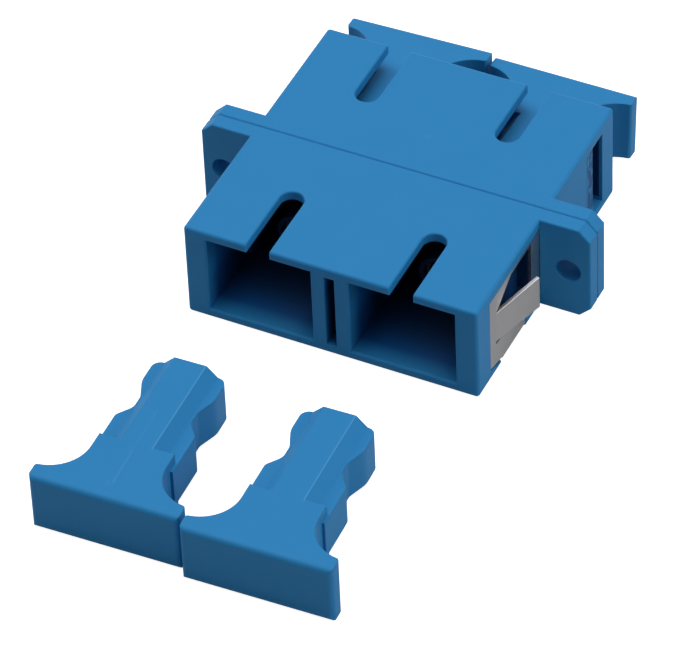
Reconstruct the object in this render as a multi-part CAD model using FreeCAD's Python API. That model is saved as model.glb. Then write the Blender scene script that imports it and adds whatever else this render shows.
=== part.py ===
import FreeCAD, Part
import math
import os

# SC duplex fibre adapter: two welded housing halves, a latch insert in every port, two
# ceramic split sleeves, a steel panel clip and four dust caps.
#
# Frame, in millimetres: +X to the right seen from the front ports, +Y to the rear, +Z up.
# The origin is in the seam between the halves, midway between the ports and screw holes.

V = FreeCAD.Vector

# --- Ports -----------------------------------------------------------------------------
port_pitch = 12.7          # standard duplex spacing
port_width = 9.3
port_height = 7.4
port_lead_in = 0.15        # bevel round the mouth of a port
key_slot_width = 2.1
key_slot_end = 6.15        # seam to the round inner end of a key slot
key_slot_rounding = 0.15   # rounded upper edges of a key slot
core_slit_width = 0.9      # thin core-out in the wall between the ports
core_slit_height = 7.3
core_slit_depth = 10.0

# --- Housing ---------------------------------------------------------------------------
side_wall = 2.0            # port to the side of the body
port_wall = 0.9            # port to the top and to the underside
half_length = 13.55        # seam to the open end of a port
body_edge_radius = 0.3     # rounding of the body's outer edges
seam_chamfer = 0.12        # bevel on both halves that leaves a hairline at the seam
flange_half = 1.45         # each half's share of the flange thickness
ear_reach = 4.45           # tip of an ear from the side of the body
ear_chamfer = 1.0          # cut-off corners of the ears
ear_rounding = 0.15        # rounded front edge of the flange
screw_inset = 1.95         # screw hole to the tip of its ear
screw_hole_radius = 1.1

# --- Latch insert ----------------------------------------------------------------------
latch_plate_side = 0.35    # plate past the port at each side
latch_plate_above = 0.25   # plate past the port above and below
latch_plate_thickness = 0.6
latch_plate_clearance = 0.05   # round the plate, in its seat in the housing
tube_wall = 0.27           # half tube that holds the sleeve
tube_length = 6.3          # seam to the end of the half tube
tube_lip = 0.5             # thickness of the inward lip that keeps the sleeve in
tube_lip_radius = 1.42
tube_lead_in = 0.15
hook_play = 0.25           # hook arm to the wall of its port
hook_thickness = 0.65
hook_height = 4.4
hook_length = 7.6          # seam to the tip of a hook
hook_barb = 0.2            # how far the barb stands in from the arm
hook_barb_length = 1.2
hook_barb_flat = 0.35

# --- Split sleeve ----------------------------------------------------------------------
sleeve_bore_radius = 1.25
sleeve_wall = 0.35
sleeve_length = 11.4
sleeve_slot = 0.45
sleeve_edge = 0.08
sleeve_side_clearance = 0.06   # sleeve to the bore of the half tubes
sleeve_end_clearance = 0.1     # sleeve end to the lip

# --- Panel clip ------------------------------------------------------------------------
clip_thickness = 0.3
clip_sunk = 0.05           # outer faces of the clip below those of the body
clip_bend_radius = 0.12    # inside the bends from the strap to the sides
clip_clearance = 0.05      # round the clip, in its seat
clip_front_wall = 2.4      # port mouth to the seat
clip_half_height = 3.6     # sides of the clip, without the parts that run to the strap
clip_tail = 1.25           # seam to the rear end of a side, under the ear
clip_band = 1.15           # front end of the clip to the root of a tongue
strap_setback = 2.5        # front end of the clip to the strap under the body
strap_width = 4.3
window_rail = 0.33         # strip above the window
window_rear = 2.9          # seam to the rear end of the window
window_corner = 3.0        # length of the window's slanted end
window_slit = 0.35         # tongue's lower edge to the lower edge of the window
tongue_root_height = 3.0
tongue_tip_height = 3.2
tongue_length = 5.25
tongue_angle = 16.0        # degrees, outwards from the clip
tongue_bend_radius = 0.8   # inside the bend at the root
relief_depth = 1.4         # hollow behind the window, from the side of the body

# --- Opening in each side of the rear half ---------------------------------------------
side_slot_length = 0.9
side_slot_slope = 1.05     # length of the slope down into the slot
side_slot_slope_depth = 0.5

# --- Dust cap --------------------------------------------------------------------------
cap_width = 12.9           # T-shaped handle
cap_height = 5.6           # handle and rib
cap_plate_thickness = 1.49     # at the ends of the handle
cap_plate_radius = 0.26    # rounded rear corners of the handle's ends
cap_plate_root = 1.94      # the plate's slanted rear, carried on to the neck
cap_handle_radius = 3.35   # hollow flank from the handle to the neck
cap_neck_width = 6.5
cap_step = 6.4             # handle face to the step where the plug starts
cap_length = 16.4
cap_plug_width = 6.95      # shoulders behind the step
cap_shoulder_end = 9.64    # handle face to the end of the shoulders
cap_waist_width = 4.98
cap_waist_start = 10.9
cap_waist_end = 12.15
cap_head_width = 6.35
cap_head_start = 13.88
cap_plug_height = 3.7      # flat wings beside the rib
cap_rib_width = 2.8        # top of the rib
cap_rib_flank = 0.95       # width of each sloping flank of the rib
cap_bore_clearance = 0.3   # between the cap's bore and the half tube
cap_bore_depth = 5.2
cap_face_radius = 0.45     # rounded rim of the handle's outer face
cap_corner_radii = (0.65, 1.1, 0.8, 1.9, 0.8)  # along the plug, from shoulder to tip

# --- Where the caps are ----------------------------------------------------------------
fitted_gap = 0.2           # between the handles of the two fitted caps
fitted_pivot = 4.25        # seam to where a fitted cap's axis crosses the port axis
fitted_insert = 2.05       # pivot to the tip of the plug
fitted_left_droop = 3.2    # degrees that the left fitted cap hangs down in its port
fitted_left_roll = 1.8     # degrees, the right end of its handle up
fitted_right_droop = 4.0
fitted_right_roll = 0.0
loose_left_x = -6.65
loose_left_y = -40.45      # outer face of the handle, from the seam
loose_left_turn = 1.9      # degrees, seen from above
loose_right_x = 6.66
loose_right_y = -40.8
loose_right_turn = 2.0

# --- Sizes that follow -----------------------------------------------------------------
port_x = port_pitch / 2
side = port_x + port_width / 2 + side_wall
top = port_height / 2 + port_wall
ear_tip = side + ear_reach
screw_x = ear_tip - screw_inset
latch_half_width = port_width / 2 + latch_plate_side
latch_half_height = port_height / 2 + latch_plate_above
hook_outer_x = port_width / 2 - hook_play
hook_inner_x = hook_outer_x - hook_thickness
tube_bore_radius = sleeve_bore_radius + sleeve_wall + sleeve_side_clearance
tube_bore_length = sleeve_length / 2 + sleeve_end_clearance
tube_radius = tube_bore_radius + tube_wall
clip_outer_x = side - clip_sunk
clip_inner_x = clip_outer_x - clip_thickness
clip_under = top - clip_sunk
seat_end = half_length - clip_front_wall
clip_front = seat_end - clip_clearance
tongue_root = clip_front - clip_band
strap_front = clip_front - strap_setback
strap_rear = strap_front - strap_width
side_slot_start = seat_end - side_slot_length
window_top = clip_half_height - window_rail
window_bottom = tongue_root_height / 2 + window_slit
cap_bore_radius = tube_radius + cap_bore_clearance
fitted_x = (cap_width + fitted_gap) / 2
fitted_reach = cap_length - fitted_insert
past = 1.0                 # how far a cutting shape runs past the face it opens


def box(x0, x1, y0, y1, z0, z1):
    """A block between two corners."""
    return Part.makeBox(x1 - x0, y1 - y0, z1 - z0, V(x0, y0, z0))


def rod(radius, x, y0, y1, z=0.0):
    """A cylinder along Y."""
    return Part.makeCylinder(radius, y1 - y0, V(x, y0, z), V(0, 1, 0))


def cone(radius0, radius1, x, y0, y1):
    """A cone along Y, its radius changing from y0 to y1."""
    return Part.makeCone(radius0, radius1, y1 - y0, V(x, y0, 0), V(0, 1, 0))


def outline(corners):
    """A flat face in XY from corners (x, y, radius), each rounded by a tangent arc."""
    edges = []
    joints = []
    count = len(corners)
    for i in range(count):
        x, y, radius = corners[i]
        here = V(x, y, 0)
        back = V(*corners[i - 1][:2], 0) - here
        ahead = V(*corners[(i + 1) % count][:2], 0) - here
        back.normalize()
        ahead.normalize()
        if radius == 0:
            joints.append((here, here, here))
            continue
        half_angle = back.getAngle(ahead) / 2
        reach = radius / math.tan(half_angle)
        bisector = back + ahead
        bisector.normalize()
        centre = here + bisector * (radius / math.sin(half_angle))
        joints.append((here + back * reach, centre - bisector * radius, here + ahead * reach))
    for i in range(count):
        start, middle, end = joints[i]
        if not start.isEqual(end, 1e-9):
            edges.append(Part.Arc(start, middle, end).toShape())
        following = joints[(i + 1) % count][0]
        if not end.isEqual(following, 1e-9):
            edges.append(Part.makeLine(end, following))
    return Part.Face(Part.Wire(edges))


def polygon(points):
    """A flat face through 3-D points."""
    return Part.Face(Part.makePolygon([V(*p) for p in points + points[:1]]))


def edges_where(shape, test):
    """The edges of a shape whose every vertex passes a test."""
    return [e for e in shape.Edges if all(test(v.Point) for v in e.Vertexes)]


def near(value, target):
    return abs(value - target) < 1e-5


def mirrored(shape, normal):
    """A mirror image across the plane through the origin with this normal."""
    return shape.mirror(V(0, 0, 0), normal)


# --- Housing ---------------------------------------------------------------------------

def body_block():
    """The closed outside of one half's body, rounded at its front and along its length."""
    block = box(-side, side, -half_length, -flange_half / 2, -top, top)
    rear = block.BoundBox.YMax
    rim = [e for e in block.Edges if not all(near(v.Y, rear) for v in e.Vertexes)]
    return block.makeFillet(body_edge_radius, rim)


def flange_plate():
    """The half flange with its ears, bevelled where it meets the other half."""
    corners = []
    for sx, sz in ((1, 1), (-1, 1), (-1, -1), (1, -1)):
        pair = [(sx * ear_tip, 0, sz * (top - ear_chamfer)),
                (sx * (ear_tip - ear_chamfer), 0, sz * top)]
        corners += pair if sx * sz > 0 else pair[::-1]
    plate = polygon(corners).extrude(V(0, -flange_half, 0))
    plate = plate.makeFillet(ear_rounding, edges_where(plate, lambda p: near(p.y, -flange_half)))
    return plate.makeChamfer(seam_chamfer, edges_where(plate, lambda p: near(p.y, 0)))


def port_cuts(x):
    """Everything cut out for one port: channel, mouth bevel, insert seat and key slot."""
    w = port_width / 2
    h = port_height / 2
    channel = box(x - w, x + w, -half_length - past, 0, -h, h)
    mouth = box(x - w - port_lead_in, x + w + port_lead_in, -half_length - port_lead_in,
                -half_length + port_lead_in, -h - port_lead_in, h + port_lead_in)
    inner = edges_where(mouth, lambda p: near(p.y, -half_length + port_lead_in))
    mouth = mouth.makeChamfer(port_lead_in, inner)
    seat_w = latch_half_width + latch_plate_clearance
    seat_h = latch_half_height + latch_plate_clearance
    seat = box(x - seat_w, x + seat_w, -latch_plate_thickness, past, -seat_h, seat_h)
    r = key_slot_width / 2
    slot = box(x - r, x + r, -half_length - past, -key_slot_end - r, 0, top + past)
    slot_end = Part.makeCylinder(r, top + past, V(x, -key_slot_end - r, 0))
    return [channel, mouth, seat, slot, slot_end]


def on_key_slot(p):
    """Whether a point lies on the upper rim of a key slot."""
    reach = key_slot_width / 2 + 1e-5
    return near(p.z, top) and abs(abs(p.x) - port_x) < reach and p.y < -key_slot_end + 1e-5


def clip_seat_cuts():
    """What the clip needs in the front half: seat, slots under the ears, strap recess."""
    h = clip_half_height + clip_clearance
    under = top + past
    front = strap_front + clip_clearance
    rear = strap_rear - clip_clearance
    outside = side + past
    seat = polygon([(0, -seat_end, h), (0, -seat_end, -h), (0, -front, -top - clip_clearance),
                    (0, -front, -under), (0, -rear, -under), (0, -rear, -h),
                    (0, -flange_half, -h), (0, -flange_half, h)])
    seat = seat.extrude(V(outside - clip_inner_x, 0, 0))
    seat.translate(V(clip_inner_x, 0, 0))
    slot = box(clip_inner_x, clip_outer_x + clip_clearance, -flange_half - past, past, -h, h)
    relief = box(side - relief_depth, outside, -seat_end, -window_rear, -window_bottom, window_top)
    recess = box(-outside, outside, -front, -rear, -under, -clip_half_height)
    recess = recess.cut(clip_core(-front, -rear))
    cuts = [recess]
    for cut in (seat, slot, relief):
        cuts.append(cut)
        cuts.append(mirrored(cut, V(1, 0, 0)))
    return cuts


def side_slot_cuts():
    """The slot in each side of the rear half, and the ends of the slots under its ears."""
    h = clip_half_height + clip_clearance
    outside = side + past
    slope = side - side_slot_slope_depth
    depth = side - relief_depth
    shape = polygon([(outside, -seat_end, -h), (depth, -seat_end, -h), (depth, -side_slot_start, -h),
                     (slope, -side_slot_start, -h), (side, side_slot_slope - side_slot_start, -h),
                     (outside, side_slot_slope - side_slot_start, -h)])
    slot = shape.extrude(V(0, 0, 2 * h))
    tail = box(clip_inner_x, clip_outer_x + clip_clearance, -clip_tail - clip_clearance, past, -h, h)
    return [slot, mirrored(slot, V(1, 0, 0)), tail, mirrored(tail, V(1, 0, 0))]


def housing_half(side_cuts):
    """One half of the housing in the front's place: a moulding from port mouths to seam."""
    half = body_block().fuse(flange_plate()).removeSplitter()
    slit_w = core_slit_width / 2
    slit_h = core_slit_height / 2
    cuts = [box(-slit_w, slit_w, -half_length - past, core_slit_depth - half_length,
                -slit_h, slit_h)]
    for s in (-1, 1):
        cuts += port_cuts(s * port_x)
        cuts.append(rod(screw_hole_radius, s * screw_x, -flange_half - past, past))
    half = half.cut(cuts + side_cuts).removeSplitter()
    return half.makeFillet(key_slot_rounding, edges_where(half, on_key_slot))


# --- Inside a port ---------------------------------------------------------------------

def hook(direction):
    """One sprung arm of a latch insert, with its barb turned to the port axis."""
    inner = hook_inner_x
    outer = hook_outer_x
    barb = hook_inner_x - hook_barb
    tip = -hook_length
    rise = tip + hook_barb_length
    side_view = [(inner, -latch_plate_thickness / 2, 0), (outer, -latch_plate_thickness / 2, 0),
                 (outer, tip + hook_barb, 0), (outer - hook_barb, tip, 0), (inner, tip, 0),
                 (barb, rise - hook_barb - hook_barb_flat, 0), (barb, rise - hook_barb, 0),
                 (inner, rise, 0)]
    arm = polygon(side_view).extrude(V(0, 0, hook_height))
    arm.translate(V(0, 0, -hook_height / 2))
    return arm if direction > 0 else mirrored(arm, V(1, 0, 0))


def latch_insert():
    """The front insert of a port on x = 0: clamped plate, sleeve tube and two hooks."""
    w = latch_half_width
    h = latch_half_height
    insert = box(-w, w, -latch_plate_thickness, 0, -h, h)
    insert = insert.fuse([rod(tube_radius, 0, -tube_length, -latch_plate_thickness / 2),
                          hook(1), hook(-1)])
    bore = rod(tube_bore_radius, 0, -tube_bore_length, past)
    lip = rod(tube_lip_radius, 0, -tube_length - past, 0)
    mouth = cone(tube_lip_radius + tube_lead_in, tube_lip_radius, 0,
                 -tube_length, -tube_length + tube_lead_in)
    return insert.cut([bore, lip, mouth]).removeSplitter()


def split_sleeve():
    """The ceramic sleeve on x = 0, slit along its top."""
    outer = sleeve_bore_radius + sleeve_wall
    end = sleeve_length / 2
    body = rod(outer, 0, -end, end)
    body = body.makeChamfer(sleeve_edge, [e for e in body.Edges if len(e.Vertexes) == 1])
    slot = box(-sleeve_slot / 2, sleeve_slot / 2, -end - past, end + past, 0, outer + past)
    return body.cut([rod(sleeve_bore_radius, 0, -end - past, end + past), slot])


# --- Panel clip ------------------------------------------------------------------------

def clip_core(y0, y1):
    """What the clip goes round between two lines across the body, rounded below."""
    core = box(-clip_inner_x, clip_inner_x, y0, y1, clip_thickness - clip_under, top)
    corners = edges_where(core, lambda p: near(p.z, clip_thickness - clip_under))
    return core.makeFillet(clip_bend_radius, [e for e in corners if near(e.Length, y1 - y0)])


def clip_strap():
    """The strap under the body, bent up at both ends to the sides of the clip."""
    outside = clip_bend_radius + clip_thickness
    strap = box(-clip_outer_x, clip_outer_x, -strap_front, -strap_rear, -clip_under,
                -clip_half_height)
    corners = edges_where(strap, lambda p: near(p.z, -clip_under))
    width = strap_front - strap_rear
    strap = strap.makeFillet(outside, [e for e in corners if near(e.Length, width)])
    return strap.cut(clip_core(-strap_front - past, past))


def clip_side():
    """The right side of the clip, without its window."""
    h = clip_half_height
    low = clip_bend_radius + clip_thickness - clip_under
    side_view = polygon([(0, -clip_front, h), (0, -clip_front, -h), (0, -strap_front, low),
                         (0, -strap_rear, low), (0, -strap_rear, -h), (0, clip_tail, -h),
                         (0, clip_tail, h)])
    plate = side_view.extrude(V(clip_thickness, 0, 0))
    plate.translate(V(clip_inner_x, 0, 0))
    return plate


def clip_window():
    """The opening round the right tongue, slanted towards the tongue's root."""
    root = tongue_root_height / 2
    shape = [(0, -window_rear, window_top), (0, window_corner - tongue_root, window_top),
             (0, -tongue_root, root), (0, -tongue_root, -window_bottom),
             (0, -window_rear, -window_bottom)]
    window = polygon(shape).extrude(V(clip_thickness + 2 * past, 0, 0))
    window.translate(V(clip_inner_x - past, 0, 0))
    return window


def clip_tongue():
    """The right tongue: bent outwards at its root, its height changing towards its tip."""
    angle = math.radians(tongue_angle)
    root_y = -tongue_root
    inside = tongue_bend_radius
    outside = inside + clip_thickness
    centre = V(clip_outer_x + inside, root_y, 0)

    def on_bend(radius, share):
        turn = angle * share
        return centre + V(-radius * math.cos(turn), radius * math.sin(turn), 0)

    run = V(math.sin(angle), math.cos(angle), 0) * tongue_length
    inner = [on_bend(outside, share) for share in (0, 0.5, 1)]
    outer = [on_bend(inside, share) for share in (0, 0.5, 1)]
    profile = Part.Wire([
        Part.Arc(*inner).toShape(), Part.makeLine(inner[2], inner[2] + run),
        Part.makeLine(inner[2] + run, outer[2] + run), Part.makeLine(outer[2] + run, outer[2]),
        Part.Arc(*outer[::-1]).toShape(), Part.makeLine(outer[0], inner[0])])
    tallest = max(tongue_root_height, tongue_tip_height)
    strip = Part.Face(profile).extrude(V(0, 0, tallest))
    strip.translate(V(0, 0, -tallest / 2))
    root = tongue_root_height / 2
    tip = tongue_tip_height / 2
    end_y = root_y + tongue_length + outside
    taper = polygon([(0, root_y, root), (0, end_y, tip), (0, end_y, -tip), (0, root_y, -root)])
    return strip.common(taper.extrude(V(2 * side, 0, 0)))


def panel_clip():
    """The clip: one steel strip bent round the underside, a sprung tongue on each side."""
    half = clip_side().cut(clip_window()).fuse(clip_tongue())
    clip = half.fuse([clip_strap(), mirrored(half, V(1, 0, 0))])
    return clip.removeSplitter()


# --- Dust cap --------------------------------------------------------------------------

def cap_handle():
    """The T-shaped handle with its hollow flanks and rounded outer rim."""
    half = cap_width / 2
    neck = cap_neck_width / 2
    flank = cap_handle_radius
    shape = [(half, 0, 0), (half, cap_plate_thickness, cap_plate_radius),
             (neck, cap_plate_root, flank), (neck, cap_step, 0)]
    shape += [(-x, y, r) for x, y, r in reversed(shape)]
    handle = outline(shape).extrude(V(0, 0, cap_height))
    handle.translate(V(0, 0, -cap_height / 2))
    return handle.makeFillet(cap_face_radius, edges_where(handle, lambda p: near(p.y, 0)))


def cap_plug():
    """The flat, waisted plug that the hooks of a port close on."""
    r = cap_corner_radii
    shape = [(cap_plug_width / 2, cap_step - past, 0), (cap_plug_width / 2, cap_shoulder_end, r[0]),
             (cap_waist_width / 2, cap_waist_start, r[1]), (cap_waist_width / 2, cap_waist_end, r[2]),
             (cap_head_width / 2, cap_head_start, r[3]), (cap_head_width / 2, cap_length, r[4])]
    shape += [(-x, y, radius) for x, y, radius in reversed(shape)]
    plug = outline(shape).extrude(V(0, 0, cap_plug_height))
    plug.translate(V(0, 0, -cap_plug_height / 2))
    return plug


def cap_rib():
    """The raised rib on the plug's upper side, with sloping flanks."""
    crest = cap_rib_width / 2
    foot = crest + cap_rib_flank
    low = cap_plug_height / 2
    high = cap_height / 2
    start = cap_step - past
    section = polygon([(-foot, start, 0), (-foot, start, low), (-crest, start, high),
                       (crest, start, high), (foot, start, low), (foot, start, 0)])
    return section.extrude(V(0, cap_length - start, 0))


def dust_cap():
    """One cap: origin in the middle of the handle's outer face, +Y to the tip of the plug."""
    rib = cap_rib()
    cap = cap_handle().fuse([cap_plug(), rib, mirrored(rib, V(0, 0, 1))]).removeSplitter()
    return cap.cut(rod(cap_bore_radius, 0, cap_length - cap_bore_depth, cap_length + past))


def fitted_cap(cap, x, droop, roll):
    """A cap pushed into a rear port, hanging and rolled by its play in the port."""
    hang = math.radians(droop)
    face = V(x, fitted_pivot + fitted_reach * math.cos(hang), -fitted_reach * math.sin(hang))
    turn = FreeCAD.Rotation(V(1, 0, 0), -droop)
    turn = turn.multiply(FreeCAD.Rotation(V(0, 1, 0), -roll))
    turn = turn.multiply(FreeCAD.Rotation(V(0, 0, 1), 180))
    placed = cap.copy()
    placed.Placement = FreeCAD.Placement(face, turn)
    return placed


def loose_cap(cap, x, y, turn):
    """A cap taken off and laid flat in front of the adapter."""
    placed = cap.copy()
    placed.Placement = FreeCAD.Placement(V(x, y, cap_height / 2 - top),
                                         FreeCAD.Rotation(V(0, 0, 1), turn))
    return placed


# --- The nodes -------------------------------------------------------------------------

def build():
    """Every node of the adapter, by name."""
    front = housing_half(clip_seat_cuts())
    rear = housing_half(side_slot_cuts())
    insert = latch_insert()
    sleeve = split_sleeve()
    cap = dust_cap()
    nodes = {
        "front_housing": front,
        "rear_housing": mirrored(rear, V(0, 1, 0)),
        "panel_clip": panel_clip(),
    }
    for name, direction in (("left", -1), ("right", 1)):
        shift = V(direction * port_x, 0, 0)
        front_latch = insert.translated(shift)
        nodes[name + "_front_latch"] = front_latch
        nodes[name + "_rear_latch"] = mirrored(front_latch, V(0, 1, 0))
        nodes[name + "_sleeve"] = sleeve.translated(shift)
    nodes["left_rear_cap"] = fitted_cap(cap, -fitted_x, fitted_left_droop, fitted_left_roll)
    nodes["right_rear_cap"] = fitted_cap(cap, fitted_x, fitted_right_droop, fitted_right_roll)
    nodes["left_front_cap"] = loose_cap(cap, loose_left_x, loose_left_y, loose_left_turn)
    nodes["right_front_cap"] = loose_cap(cap, loose_right_x, loose_right_y, loose_right_turn)
    return nodes


def main():
    os.makedirs("parts", exist_ok=True)
    for name, shape in build().items():
        shape.exportStep("parts/" + name + ".step")
        print(name, "valid", shape.isValid(), "solids", len(shape.Solids), "volume %.2f" % shape.Volume)


main()
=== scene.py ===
"""Looks of a duplex fibre adapter: finishes with painted shade and painted highlight lines,
moulding marks, studio and camera.

Everything is in metres in the adapter's own frame: +X to the right seen from the front ports,
+Y to the rear, +Z up, with the origin in the seam between the housing halves.
"""

import logging
import math
from dataclasses import dataclass, field
from enum import Enum
from typing import Any, Mapping, Sequence, Union

import bpy
from mathutils import Matrix, Vector


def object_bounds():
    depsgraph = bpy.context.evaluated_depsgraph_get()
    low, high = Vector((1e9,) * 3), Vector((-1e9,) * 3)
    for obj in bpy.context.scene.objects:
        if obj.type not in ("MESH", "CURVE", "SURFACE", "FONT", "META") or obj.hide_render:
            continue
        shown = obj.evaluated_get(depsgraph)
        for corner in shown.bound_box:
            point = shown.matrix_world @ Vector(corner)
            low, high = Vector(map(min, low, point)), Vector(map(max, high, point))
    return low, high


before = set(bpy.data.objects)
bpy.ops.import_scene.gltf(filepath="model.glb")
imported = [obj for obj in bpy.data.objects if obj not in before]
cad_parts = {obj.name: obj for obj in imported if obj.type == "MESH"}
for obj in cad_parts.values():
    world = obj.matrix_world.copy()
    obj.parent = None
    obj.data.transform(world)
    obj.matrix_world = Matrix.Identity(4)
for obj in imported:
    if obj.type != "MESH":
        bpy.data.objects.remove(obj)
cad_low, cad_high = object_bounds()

MM = 0.001
FLOOR_GAP = 0.02 * MM
EDGE_SAMPLES = 6

log = logging.getLogger("adapter")

Colour = tuple[float, float, float]
Point = tuple[float, float]
Number = Union[float, "Socket"]

BLUE: Colour = (0.020, 0.207, 0.475)
CLOUDED_BLUE: Colour = (0.022, 0.214, 0.485)


# --- Shader building -------------------------------------------------------------------


class Socket:
    """A number that comes out of a node, with arithmetic that adds Math nodes."""

    def __init__(self, graph: "Graph", output: bpy.types.NodeSocket) -> None:
        """Wraps one output of a node.

        Args:
            graph: The node tree builder that the output belongs to.
            output: The output socket.
        """
        self.graph = graph
        self.output = output

    def _math(self, operation: str, first: Number, second: Number) -> "Socket":
        """Adds a Math node on two values and returns its result."""
        node = self.graph.node("ShaderNodeMath", {"operation": operation}, {0: first, 1: second})
        return Socket(self.graph, node.outputs[0])

    def __add__(self, other: Number) -> "Socket":
        """self + other."""
        return self._math("ADD", self, other)

    def __radd__(self, other: Number) -> "Socket":
        """other + self."""
        return self._math("ADD", other, self)

    def __sub__(self, other: Number) -> "Socket":
        """self - other."""
        return self._math("SUBTRACT", self, other)

    def __rsub__(self, other: Number) -> "Socket":
        """other - self."""
        return self._math("SUBTRACT", other, self)

    def __rtruediv__(self, other: Number) -> "Socket":
        """other / self."""
        return self._math("DIVIDE", other, self)

    def __mul__(self, other: Number) -> "Socket":
        """self * other."""
        return self._math("MULTIPLY", self, other)

    def __rmul__(self, other: Number) -> "Socket":
        """other * self."""
        return self._math("MULTIPLY", other, self)

    def __pow__(self, other: Number) -> "Socket":
        """self ** other."""
        return self._math("POWER", self, other)

    def __truediv__(self, other: Number) -> "Socket":
        """self / other."""
        return self._math("DIVIDE", self, other)

    def __lt__(self, other: Number) -> "Socket":
        """1 where self < other, otherwise 0."""
        return self._math("LESS_THAN", self, other)

    def __gt__(self, other: Number) -> "Socket":
        """1 where self > other, otherwise 0."""
        return self._math("GREATER_THAN", self, other)

    def __abs__(self) -> "Socket":
        """The size of self, without its sign."""
        return self._math("ABSOLUTE", self, 0.0)

    def clamped(self, low: float, high: float) -> "Socket":
        """The value kept between two numbers."""
        return self._math("MINIMUM", self._math("MAXIMUM", self, low), high)


class Graph:
    """The node tree of a material or a world, with one method that makes its nodes."""

    def __init__(self, owner: bpy.types.Material | bpy.types.World) -> None:
        """Empties the owner's node tree.

        Args:
            owner: The material or world.
        """
        self.owner = owner
        owner.use_nodes = True
        self.tree = owner.node_tree
        self.tree.nodes.clear()

    def node(
        self,
        kind: str,
        settings: Mapping[str, Any] | None = None,
        inputs: Mapping[int | str, Any] | None = None,
    ) -> bpy.types.Node:
        """Makes one node.

        Args:
            kind: The node's type.
            settings: Properties that are set first.
            inputs: A value, a Socket or an output socket for each input, by name or number.

        Returns:
            The node.
        """
        made = self.tree.nodes.new(kind)
        for key, value in (settings or {}).items():
            setattr(made, key, value)
        for key, value in (inputs or {}).items():
            if isinstance(value, Socket):
                value = value.output
            if isinstance(value, bpy.types.NodeSocket):
                self.tree.links.new(value, made.inputs[key])
            else:
                made.inputs[key].default_value = value
        return made

    def place(self, stretch: Colour = (1.0, 1.0, 1.0)) -> bpy.types.NodeSocket:
        """The object's own coordinates in millimetres, stretched along its axes."""
        here = self.node("ShaderNodeTexCoord").outputs["Object"]
        scale = tuple(part / MM for part in stretch)
        mapping = self.node("ShaderNodeMapping", {}, {"Vector": here, "Scale": scale})
        return mapping.outputs["Vector"]

    def along(self) -> tuple[Socket, Socket, Socket]:
        """The object's own X, Y and Z in millimetres."""
        parts = self.node("ShaderNodeSeparateXYZ", {}, {"Vector": self.place()})
        return tuple(Socket(self, parts.outputs[axis]) for axis in "XYZ")

    def noise(
        self, size: float, detail: float = 2.0, stretch: Colour = (1.0, 1.0, 1.0)
    ) -> Socket:
        """Soft noise from 0 to 1.

        Args:
            size: Width of a patch, in millimetres.
            detail: Number of finer layers.
            stretch: Scale of the pattern along each axis.

        Returns:
            The noise's value.
        """
        made = self.node(
            "ShaderNodeTexNoise",
            {},
            {"Vector": self.place(stretch), "Scale": 1.0 / size, "Detail": detail},
        )
        return Socket(self, made.outputs["Fac"])

    def blend(self, share: Number, first: Any, second: Any) -> bpy.types.NodeSocket:
        """A colour between two colours."""
        mix = self.node("ShaderNodeMix", {"data_type": "RGBA"}, {"Factor": share})
        for key, value in (("A", first), ("B", second)):
            socket = next(s for s in mix.inputs if s.name == key and s.type == "RGBA")
            if isinstance(value, bpy.types.NodeSocket):
                self.tree.links.new(value, socket)
            else:
                socket.default_value = (*value, 1.0)
        return next(s for s in mix.outputs if s.type == "RGBA")

    def bump(self, height: Socket, depth: float, edge: float) -> bpy.types.NodeSocket:
        """A normal disturbed by a height field and softened over sharp edges.

        Args:
            height: The field, from 0 to 1.
            depth: Height of 1 in millimetres.
            edge: Radius of the edges in millimetres.

        Returns:
            The normal.
        """
        rounded = self.node("ShaderNodeBevel", {"samples": EDGE_SAMPLES}, {"Radius": edge * MM})
        made = self.node(
            "ShaderNodeBump",
            {},
            {"Distance": depth * MM, "Height": height, "Normal": rounded.outputs["Normal"]},
        )
        return made.outputs["Normal"]

    def finish(self, shader: bpy.types.NodeSocket) -> Any:
        """Leads a shader to the output and returns the material or world."""
        is_world = isinstance(self.owner, bpy.types.World)
        kind = "ShaderNodeOutputWorld" if is_world else "ShaderNodeOutputMaterial"
        self.node(kind, {}, {"Surface": shader})
        return self.owner


# --- Finishes --------------------------------------------------------------------------


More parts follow.
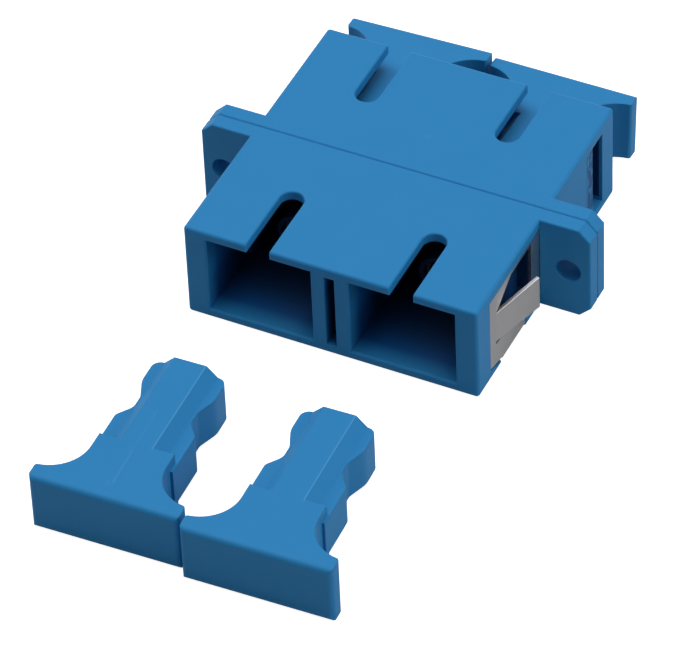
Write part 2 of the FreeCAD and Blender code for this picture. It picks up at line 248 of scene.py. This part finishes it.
@dataclass(frozen=True)
class PaintedRecessShade:
    """Where the housing's deep places are, in millimetres, and the shade that is painted into
    them.
    """

    port_x: float = 12.7 / 2
    port_half_width: float = 4.72
    port_half_height: float = 3.74
    mouth: float = 13.55
    fade: float = 2.8
    slit_half_width: float = 0.47
    slit_fade: float = 0.7
    # the hollows behind the clip windows get an even painted shade
    hollow_x: float = 12.7
    hollow_half_height: float = 3.3
    hollow_end: float = 11.2
    hollow_share: float = 0.75
    # colours of the painted shade, a deep blue and then nearly black
    shade_blue_gain: float = 4.0
    shade_blue: Colour = (0.0080, 0.120, 0.400)
    darkest: Colour = (0.0002, 0.0016, 0.011)

    @staticmethod
    def _fall(depth: Socket, fade: float) -> Socket:
        """1 - 1 / (1 + (depth / fade)^3)."""
        return 1.0 - 1.0 / (1.0 + (depth / fade) ** 3.0)

    def painted_shade(self, graph: Graph) -> Socket:
        """How much painted shade a point gets, deep in a port or behind a clip's window.

        The share is 0 outside. In a port it grows with the depth behind the port's mouth, in
        the thin slit between the ports it grows faster, and behind a window it is even.

        Args:
            graph: The material's graph.

        Returns:
            The share, from 0 to 1.
        """
        x, y, z = graph.along()
        beside = abs(abs(x) - self.port_x)
        depth = (self.mouth - abs(y)).clamped(0.0, self.mouth)
        level = abs(z) < self.port_half_height
        in_port = (beside < self.port_half_width) * level
        in_slit = (abs(x) < self.slit_half_width) * level
        in_hollow = (abs(x) < self.hollow_x) * (abs(x) > self.port_x + self.port_half_width)
        in_hollow = in_hollow * (abs(z) < self.hollow_half_height) * (abs(y) < self.hollow_end)
        shares = in_port * self._fall(depth, self.fade)
        shares = shares + in_slit * self._fall(depth, self.slit_fade)
        shares = shares + in_hollow * self.hollow_share
        return shares.clamped(0.0, 1.0)

    def paint_shade(self, graph: Graph, colour: Any) -> bpy.types.NodeSocket:
        """A colour with painted shade: led through a deep blue to nearly black where the point
        lies deep.

        Args:
            graph: The material's graph.
            colour: The colour in the open.

        Returns:
            The colour.
        """
        painted_shade = self.painted_shade(graph)
        bluish = graph.blend((painted_shade * self.shade_blue_gain).clamped(0.0, 1.0), colour, self.shade_blue)
        return graph.blend(painted_shade, bluish, self.darkest)


@dataclass(frozen=True)
class MarkOrHighlightLine:
    """A fine raised line left by the mould, a gate mark where both ends are the same, or a
    painted highlight line along a cap rib's crest.
    """

    start: Point
    end: Point
    width: float
    above: float
    height: float = 6.0
    paleness: float = 0.35

    def mask(self, graph: Graph) -> Socket:
        """Where the mark is.

        The share is 1 - (d / width)^2, with d the distance to the line from start to end seen
        from above, and 0 below the height that the mark stands on.

        Args:
            graph: The material's graph.

        Returns:
            The share, from 0 to 1.
        """
        x, y, z = graph.along()
        run = (self.end[0] - self.start[0], self.end[1] - self.start[1])
        across = x - self.start[0]
        along = y - self.start[1]
        square = run[0] ** 2 + run[1] ** 2
        if square > 0:
            share = ((across * run[0] + along * run[1]) / square).clamped(0.0, 1.0)
            across = across - share * run[0]
            along = along - share * run[1]
        fall = 1.0 - (across * across + along * along) / self.width**2
        return fall.clamped(0.0, 1.0) * (z > self.above)


@dataclass(frozen=True)
class TornPatch:
    """The torn, mottled skin in front of the slot in each side of the rear half."""

    start: float = 7.8
    rise: float = 0.5
    end: float = 10.22
    inner: float = 12.4
    half_height: float = 3.64
    size: float = 0.5
    pale: Colour = (0.030, 0.260, 0.560)
    dark: Colour = (0.003, 0.060, 0.180)
    middle: float = 0.50
    contrast: float = 6.0
    strength: float = 0.85
    height: float = 20.0

    def mask(self, graph: Graph) -> Socket:
        """A share that rises from 0 to 1 towards the slot, and is 0 elsewhere."""
        x, y, z = graph.along()
        share = ((y - self.start) / self.rise).clamped(0.0, 1.0)
        return share * (y < self.end) * (abs(z) < self.half_height) * (abs(x) > self.inner)

    def tears(self, graph: Graph) -> Socket:
        """Noise sharpened into torn spots, from 0 to 1."""
        spots = graph.noise(self.size, 3.0, (1.0, 1.0, 0.6))
        return ((spots - self.middle) * self.contrast).clamped(0.0, 1.0)


@dataclass(frozen=True)
class MouldedPlastic:
    """Satin moulded plastic with a spark-eroded grain and a faint cloudiness, and where given,
    moulding marks, painted highlight lines, a torn patch and painted shade in recesses.
    """

    name: str
    colour: Colour
    cloud: Colour
    painted_recess_shade: PaintedRecessShade | None = None
    marks: tuple[MarkOrHighlightLine, ...] = ()
    torn: TornPatch | None = None
    roughness: float = 0.48
    specular: float = 0.15
    unevenness: float = 0.12
    cloud_size: float = 4.0
    cloud_floor: float = 0.3
    cloud_share: float = 0.6
    grain_size: float = 0.12
    grain_depth: float = 0.004
    edge: float = 0.16
    # pale colour of the moulding marks, and of the painted highlight lines on the cap ribs
    pale_mark_and_highlight: Colour = (0.070, 0.290, 0.600)

    def build(self) -> bpy.types.Material:
        """Makes the material."""
        graph = Graph(bpy.data.materials.new(self.name))
        clouds = graph.noise(self.cloud_size, 3.0)
        specks = graph.noise(self.grain_size)
        share = (clouds - self.cloud_floor).clamped(0.0, self.cloud_share)
        colour = graph.blend(share, self.colour, self.cloud)
        relief = specks
        for mark in self.marks:
            mask = mark.mask(graph)
            # pales the moulding marks, and paints the highlight lines along the cap crests
            colour = graph.blend(mask * mark.paleness, colour, self.pale_mark_and_highlight)
            relief = relief + mask * mark.height
        if self.torn:
            mask = self.torn.mask(graph)
            sharp = self.torn.tears(graph)
            tone = graph.blend(sharp, self.torn.dark, self.torn.pale)
            colour = graph.blend(mask * self.torn.strength, colour, tone)
            relief = relief + mask * sharp * self.torn.height
        if self.painted_recess_shade:
            # painted shade deep in the ports, the slit between them and the hollows behind the
            # clip windows
            colour = self.painted_recess_shade.paint_shade(graph, colour)
        shader = graph.node(
            "ShaderNodeBsdfPrincipled",
            {},
            {
                "Base Color": colour,
                "Roughness": self.roughness - self.unevenness / 2 + self.unevenness * specks,
                "Specular IOR Level": self.specular,
                "Normal": graph.bump(relief, self.grain_depth, self.edge),
            },
        )
        return graph.finish(shader.outputs["BSDF"])


@dataclass(frozen=True)
class RolledSteel:
    """Cold-rolled spring steel with fine streaks along its length."""

    name: str
    colour: Colour
    shade: Colour
    roughness: float = 0.34
    unevenness: float = 0.16
    streak_width: float = 0.35
    streak_depth: float = 0.003
    smudge_size: float = 3.0
    edge: float = 0.06

    def build(self) -> bpy.types.Material:
        """Makes the material."""
        graph = Graph(bpy.data.materials.new(self.name))
        streaks = graph.noise(self.streak_width, 4.0, (1.0, 0.04, 1.0))
        smudges = graph.noise(self.smudge_size)
        shader = graph.node(
            "ShaderNodeBsdfPrincipled",
            {},
            {
                "Base Color": graph.blend(smudges, self.colour, self.shade),
                "Metallic": 1.0,
                "Roughness": self.roughness - self.unevenness / 2 + self.unevenness * streaks,
                "Normal": graph.bump(streaks, self.streak_depth, self.edge),
            },
        )
        return graph.finish(shader.outputs["BSDF"])


@dataclass(frozen=True)
class GroundCeramic:
    """Ground and polished zirconia, creamy white with grinding rings round its axis, and painted
    shade deep in the ports.
    """

    name: str
    colour: Colour
    shade: Colour
    painted_recess_shade: PaintedRecessShade
    painted_shade_colour: Colour = (0.02, 0.02, 0.02)
    roughness: float = 0.22
    unevenness: float = 0.1
    ring_width: float = 0.08
    ring_depth: float = 0.001
    cloud_size: float = 1.5
    edge: float = 0.03

    def build(self) -> bpy.types.Material:
        """Makes the material."""
        graph = Graph(bpy.data.materials.new(self.name))
        rings = graph.noise(self.ring_width, 1.0, (0.1, 1.0, 0.1))
        clouds = graph.noise(self.cloud_size)
        colour = graph.blend(clouds, self.colour, self.shade)
        shader = graph.node(
            "ShaderNodeBsdfPrincipled",
            {},
            {
                # painted shade: the colour goes dark deep in the port
                "Base Color": graph.blend(self.painted_recess_shade.painted_shade(graph), colour, self.painted_shade_colour),
                "Roughness": self.roughness + self.unevenness * rings,
                "Normal": graph.bump(rings, self.ring_depth, self.edge),
            },
        )
        return graph.finish(shader.outputs["BSDF"])


class Finish(Enum):
    """The finishes of the adapter's pieces."""

    HOUSING = MouldedPlastic(
        "housing_blue",
        BLUE,
        CLOUDED_BLUE,
        # painted shade deep in the ports and behind the clip windows
        PaintedRecessShade(),
        (MarkOrHighlightLine((0.53, 4.2), (0.53, 4.2), 0.45, 4.59, 3.0, 0.15),),
        TornPatch(),
    )
    CAP = MouldedPlastic(
        "cap_blue",
        BLUE,
        CLOUDED_BLUE,
        None,
        # painted highlight along the rib's crest
        (MarkOrHighlightLine((7.836, -34.355), (7.487, -24.361), 0.14, 0.99, 3.0, 0.9),),
    )
    CREASED_CAP = MouldedPlastic(
        "cap_blue_creased",
        BLUE,
        CLOUDED_BLUE,
        None,
        (
            MarkOrHighlightLine((-6.60, -38.7), (-6.84, -35.0), 0.10, 0.99),
            MarkOrHighlightLine((-6.84, -35.0), (-7.05, -30.0), 0.08, 0.99, 2.0, 0.12),
            MarkOrHighlightLine((-6.94, -38.8), (-6.94, -38.8), 0.28, 0.99, 3.0, 0.15),
            # painted highlight along the rib's crest
            MarkOrHighlightLine((-5.463, -34.007), (-5.795, -24.01), 0.14, 0.99, 3.0, 0.9),
        ),
    )
    # The latches are a darker blue than the housing, with the same painted shade deep in the
    # ports.
    LATCH = MouldedPlastic("latch_blue", (0.02, 0.160, 0.400), (0.02, 0.170, 0.415), PaintedRecessShade())
    CLIP = RolledSteel("clip_steel", (0.50, 0.495, 0.50), (0.44, 0.435, 0.44))
    # the sleeves take the painted shade of the ports
    SLEEVE = GroundCeramic("sleeve_ceramic", (0.86, 0.85, 0.80), (0.82, 0.81, 0.76), PaintedRecessShade())


class FinishShelf:
    """Makes each finish once and hands it out."""

    def __init__(self) -> None:
        """Starts with no finish made."""
        self._made: dict[Finish, bpy.types.Material] = {}

    def get(self, finish: Finish) -> bpy.types.Material:
        """The material of a finish."""
        if finish not in self._made:
            self._made[finish] = finish.value.build()
        return self._made[finish]


# --- The adapter -----------------------------------------------------------------------


@dataclass
class CadNodes:
    """CAD nodes that share a finish and are shown as they are."""

    names: Sequence[str]
    finish: Finish

    def dress(self, shelf: FinishShelf) -> None:
        """Gives every node its finish.

        Args:
            shelf: Where the finishes are.
        """
        for name in self.names:
            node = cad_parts[name]
            for slot in node.material_slots:
                slot.material = shelf.get(self.finish)
            log.info("dressed %s in %s", name, self.finish.value.name)


# --- Studio ----------------------------------------------------------------------------


def bearing(azimuth: float, elevation: float) -> Vector:
    """The unit vector (sin a cos e, -cos a cos e, sin e), from the object to a place round it.

    Args:
        azimuth: Degrees from the front, to the right.
        elevation: Degrees above the floor.

    Returns:
        The vector.
    """
    around, up = math.radians(azimuth), math.radians(elevation)
    return Vector(
        (math.sin(around) * math.cos(up), -math.cos(around) * math.cos(up), math.sin(up))
    )


@dataclass
class Softbox:
    """A square area lamp aimed at the middle of the object."""

    name: str
    azimuth: float
    elevation: float
    distance: float
    width: float
    level: float

    def build(self, target: Vector) -> None:
        """Makes the lamp.

        Args:
            target: The point it is aimed at.
        """
        lamp = bpy.data.lights.new(self.name, "AREA")
        lamp.shape = "SQUARE"
        lamp.size = self.width
        # a white surface facing the lamp shows this level: E / pi, with E = P / (pi d^2)
        lamp.energy = self.level * math.pi**2 * self.distance**2
        back = bearing(self.azimuth, self.elevation)
        piece = bpy.data.objects.new(self.name, lamp)
        piece.location = target + back * self.distance
        piece.rotation_mode = "QUATERNION"
        piece.rotation_quaternion = (-back).to_track_quat("-Z", "Y")
        bpy.context.scene.collection.objects.link(piece)
        log.info("lamp %s", self.name)


@dataclass
class Studio:
    """A pale floor, a plain surrounding light and soft lamps."""

    floor_level: float
    floor_width: float = 3.0
    ambient: float = 0.01
    mirrored: float = 1.80
    floor_albedo: float = 0.60
    floor_glow: float = 0.91
    lamps: Sequence[Softbox] = field(default_factory=list)

    def build(self, target: Vector) -> None:
        """Makes the floor, the world and the lamps.

        Args:
            target: The middle of the object.
        """
        self._world()
        self._floor()
        for lamp in self.lamps:
            lamp.build(target)

    def _world(self) -> None:
        """An even surrounding light, brighter in mirrored views and white to the camera."""
        graph = Graph(bpy.data.worlds.new("studio"))
        path = graph.node("ShaderNodeLightPath")
        even = graph.node("ShaderNodeBackground", {}, {"Strength": self.ambient})
        mirrored = graph.node("ShaderNodeBackground", {}, {"Strength": self.mirrored})
        white = graph.node("ShaderNodeBackground")
        lit = graph.node(
            "ShaderNodeMixShader",
            {},
            {0: path.outputs["Is Glossy Ray"], 1: even.outputs[0], 2: mirrored.outputs[0]},
        )
        seen = graph.node(
            "ShaderNodeMixShader",
            {},
            {0: path.outputs["Is Camera Ray"], 1: lit.outputs[0], 2: white.outputs[0]},
        )
        bpy.context.scene.world = graph.finish(seen.outputs[0])

    def _floor(self) -> None:
        """A wide sheet that glows white to the camera and keeps a faint shadow."""
        half = self.floor_width / 2
        z = self.floor_level - FLOOR_GAP
        corners = [(-half, -half, z), (half, -half, z), (half, half, z), (-half, half, z)]
        mesh = bpy.data.meshes.new("floor")
        mesh.from_pydata(corners, [], [(0, 1, 2, 3)])
        floor = bpy.data.objects.new("floor", mesh)
        graph = Graph(bpy.data.materials.new("floor_white"))
        path = graph.node("ShaderNodeLightPath")
        seen = Socket(graph, path.outputs["Is Camera Ray"])
        clear = Socket(graph, path.outputs["Is Transmission Ray"])
        glow = graph.node(
            "ShaderNodeEmission", {}, {"Strength": (seen + clear) * self.floor_glow}
        )
        grey = (self.floor_albedo,) * 3
        sheet = graph.node("ShaderNodeBsdfDiffuse", {}, {"Color": (*grey, 1.0)})
        both = graph.node(
            "ShaderNodeAddShader", {}, {0: sheet.outputs[0], 1: glow.outputs[0]}
        )
        mesh.materials.append(graph.finish(both.outputs[0]))
        bpy.context.scene.collection.objects.link(floor)
        log.info("floor")


@dataclass
class Viewpoint:
    """The camera: where it stands round the origin, its roll and its long lens."""

    azimuth: float
    elevation: float
    roll: float
    distance: float
    pan: Point
    lens: float

    def build(self) -> None:
        """Makes the camera and gives it to the scene."""
        back = bearing(self.azimuth, self.elevation)
        level = (-back).cross(Vector((0, 0, 1))).normalized()
        above = level.cross(-back)
        roll = math.radians(self.roll)
        right = level * math.cos(roll) + above * math.sin(roll)
        top = above * math.cos(roll) - level * math.sin(roll)
        turn = Matrix((right, top, back)).transposed()
        camera = bpy.data.cameras.new("camera")
        camera.lens = self.lens
        camera.clip_start = 0.01
        camera.clip_end = 10.0
        piece = bpy.data.objects.new("camera", camera)
        piece.rotation_mode = "QUATERNION"
        piece.rotation_quaternion = turn.to_quaternion()
        piece.location = back * self.distance + right * self.pan[0] + top * self.pan[1]
        bpy.context.scene.collection.objects.link(piece)
        bpy.context.scene.camera = piece
        log.info("camera")


def main() -> None:
    """Builds the studio and dresses the adapter."""
    logging.basicConfig(level=logging.INFO, format="%(name)s: %(message)s")
    bpy.context.scene.view_settings.view_transform = "Standard"
    camera = Viewpoint(
        azimuth=27.345,
        elevation=43.069,
        roll=-2.651,
        distance=0.44701,
        pan=(-0.005054, -0.009305),
        lens=289.35,
    )
    camera.build()
    lamps = [
        Softbox("overhead", 180.0, 82.0, 0.9, 0.8, 0.66),
        Softbox("right", 98.0, 30.0, 0.9, 0.5, 0.38),
        Softbox("left", 262.0, 30.0, 0.9, 0.5, 0.38),
        Softbox("front", 10.0, 42.0, 0.9, 0.6, 0.10),
    ]
    Studio(cad_low.z, lamps=lamps).build(Vector((0, -0.01, 0)))
    shelf = FinishShelf()
    CadNodes(("front_housing", "rear_housing"), Finish.HOUSING).dress(shelf)
    sides = ("left", "right")
    CadNodes(("right_front_cap", "left_rear_cap", "right_rear_cap"), Finish.CAP).dress(shelf)
    CadNodes(("left_front_cap",), Finish.CREASED_CAP).dress(shelf)
    CadNodes([f"{s}_{e}_latch" for s in sides for e in ("front", "rear")], Finish.LATCH).dress(
        shelf
    )
    CadNodes(("panel_clip",), Finish.CLIP).dress(shelf)
    CadNodes([f"{s}_sleeve" for s in sides], Finish.SLEEVE).dress(shelf)


if __name__ == "__main__":
    main()
